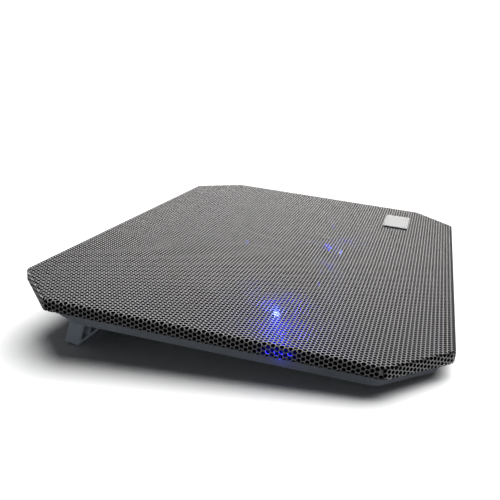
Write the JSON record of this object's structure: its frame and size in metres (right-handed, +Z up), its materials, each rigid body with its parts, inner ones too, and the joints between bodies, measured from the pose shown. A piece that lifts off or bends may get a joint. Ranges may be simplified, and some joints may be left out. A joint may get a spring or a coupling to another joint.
{
  "type": "laptop cooling pad",
  "caption": "Slim octagonal laptop cooling pad: a perforated steel cover over a shallow plastic tray, lit fans inside, folding rear feet and a socket panel at the back.",
  "frame": {"origin": "on the desk, under the middle of the pad as it stands on its feet", "axes": "+X to the user's right along the long side, +Y to the raised back edge, +Z up"},
  "size_m": [0.38, 0.279, 0.0481],
  "materials": {
    "mesh_paint": "satin black powder coat",
    "tray_plastic": "fine moulded grain",
    "fan_plastic": "moulded black",
    "blade_plastic": "smoke grey, glossy",
    "foot_plastic": "fine moulded grain",
    "rubber": "matte",
    "steel": "nickel plated",
    "brass": "turned",
    "copper": "enamelled windings",
    "board": "solder mask",
    "led": "clear blue dome",
    "lead": "matte sleeve",
    "badge": "blank, satin"
  },
  "bodies": {
    "base": {"mesh_cover": "mesh_paint", "base_tray": "tray_plastic", "badge": "badge", "fan_frame_left": "fan_plastic", "fan_bearing_left": "brass", "fan_stator_left": "copper", "fan_board_left": "board", "fan_led_left_1": "led", "fan_screw_left_1": "steel", "fan_led_left_2": "led", "fan_screw_left_2": "steel", "fan_led_left_3": "led", "fan_screw_left_3": "steel", "fan_led_left_4": "led", "fan_screw_left_4": "steel", "foot_pin_left": "steel", "fan_plug_left": "badge", "fan_lead_left": "lead", "fan_frame_right": "fan_plastic", "fan_bearing_right": "brass", "fan_stator_right": "copper", "fan_board_right": "board", "fan_led_right_1": "led", "fan_screw_right_1": "steel", "fan_led_right_2": "led", "fan_screw_right_2": "steel", "fan_led_right_3": "led", "fan_screw_right_3": "steel", "fan_led_right_4": "led", "fan_screw_right_4": "steel", "foot_pin_right": "steel", "fan_plug_right": "badge", "fan_lead_right": "lead", "hub_board": "board", "usb_socket_1": "steel", "usb_tongue_1": "rubber", "board_screw_1": "steel", "usb_socket_2": "steel", "usb_tongue_2": "rubber", "board_screw_2": "steel", "switch_body": "fan_plastic", "rubber_pad_front_left": "rubber", "rubber_pad_front_right": "rubber", "rubber_pad_rear_left": "rubber", "rubber_pad_rear_right": "rubber"},
    "fan_left": {"fan_rotor_left": "blade_plastic", "fan_shaft_left": "steel"},
    "foot_left": {"foot_left": "foot_plastic", "foot_sole_left": "rubber"},
    "fan_right": {"fan_rotor_right": "blade_plastic", "fan_shaft_right": "steel"},
    "foot_right": {"foot_right": "foot_plastic", "foot_sole_right": "rubber"},
    "switch": {"switch_slider": "badge"}
  },
  "joints": [
    {"name": "fan_spin_left", "type": "hinge", "parent": "base", "child": "fan_left", "pos_m": [-0.07, 0.00834, 0.02583], "axis": [0, -0.1097, 0.994], "continuous": true},
    {"name": "fan_spin_right", "type": "hinge", "parent": "base", "child": "fan_right", "pos_m": [0.07, 0.00834, 0.02583], "axis": [0, -0.1097, 0.994], "continuous": true},
    {"name": "foot_fold_left", "type": "hinge", "parent": "base", "child": "foot_left", "pos_m": [-0.139, 0.09398, 0.03106], "axis": [-1, 0, 0], "range_deg": [0, 104]},
    {"name": "foot_fold_right", "type": "hinge", "parent": "base", "child": "foot_right", "pos_m": [0.139, 0.09398, 0.03106], "axis": [-1, 0, 0], "range_deg": [0, 104]},
    {"name": "switch_slide", "type": "slide", "parent": "base", "child": "switch", "axis": [1, 0, 0], "range_m": [0, 0.003]}
  ]
}
